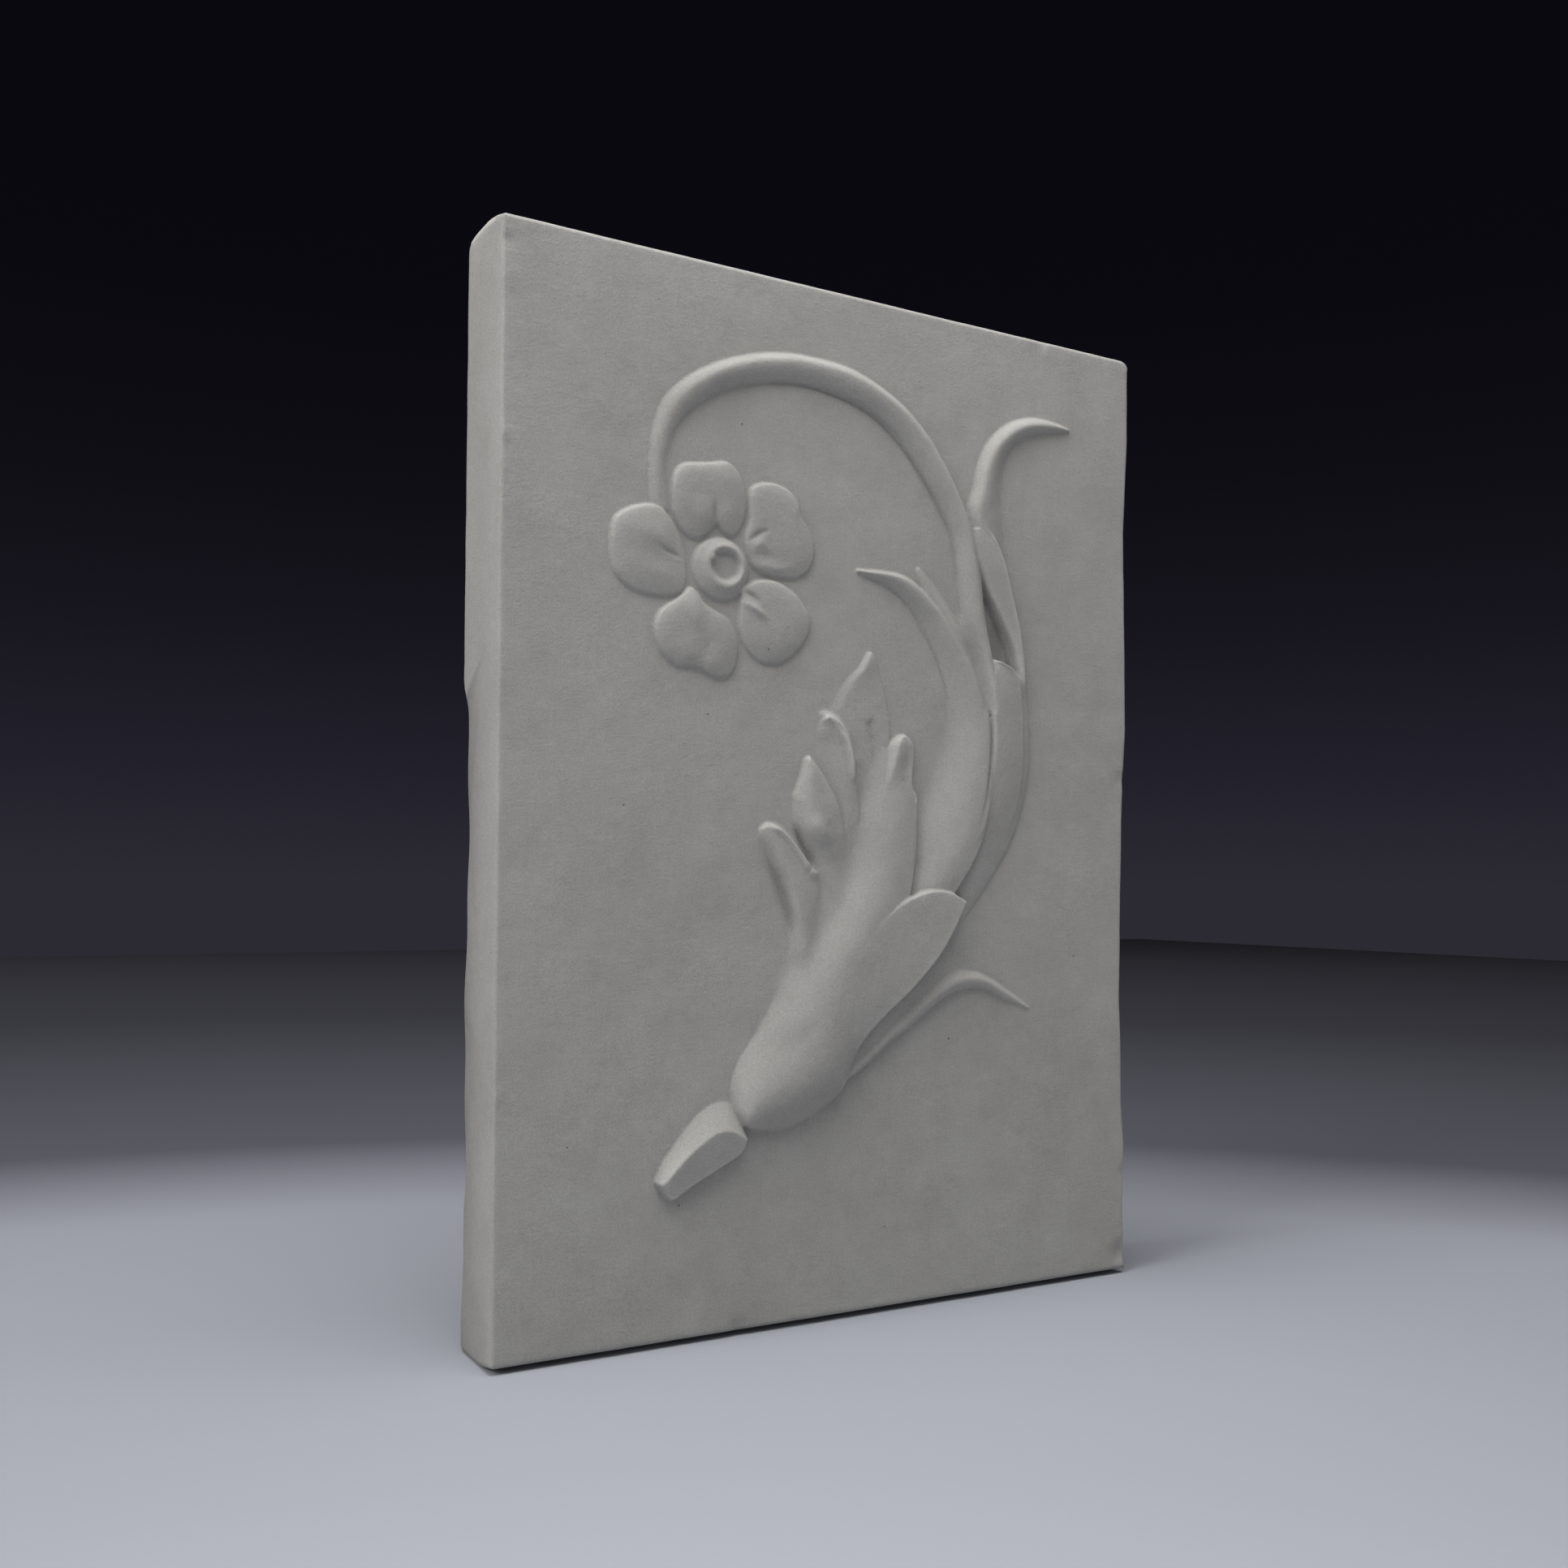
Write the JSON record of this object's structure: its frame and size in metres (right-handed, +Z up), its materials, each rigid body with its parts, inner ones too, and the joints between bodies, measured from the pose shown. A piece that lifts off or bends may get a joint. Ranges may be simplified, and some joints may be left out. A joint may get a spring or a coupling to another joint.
{
  "type": "plaster bas-relief",
  "caption": "Thick upright plaster slab with a flower spray in low relief on its front: leaves in a swollen sheath, and a stem that arches over to an open flower.",
  "frame": {"origin": "on the flat of the underside, in the middle of the slab's width and thickness", "axes": "+Z up, -Y out of the carved front, +X to the right seen from the front"},
  "size_m": [0.361, 0.0631, 0.508],
  "materials": {
    "cast_plaster": "dry matt plaster"
  },
  "bodies": {
    "root": {"relief_panel": "cast_plaster"}
  },
  "joints": []
}
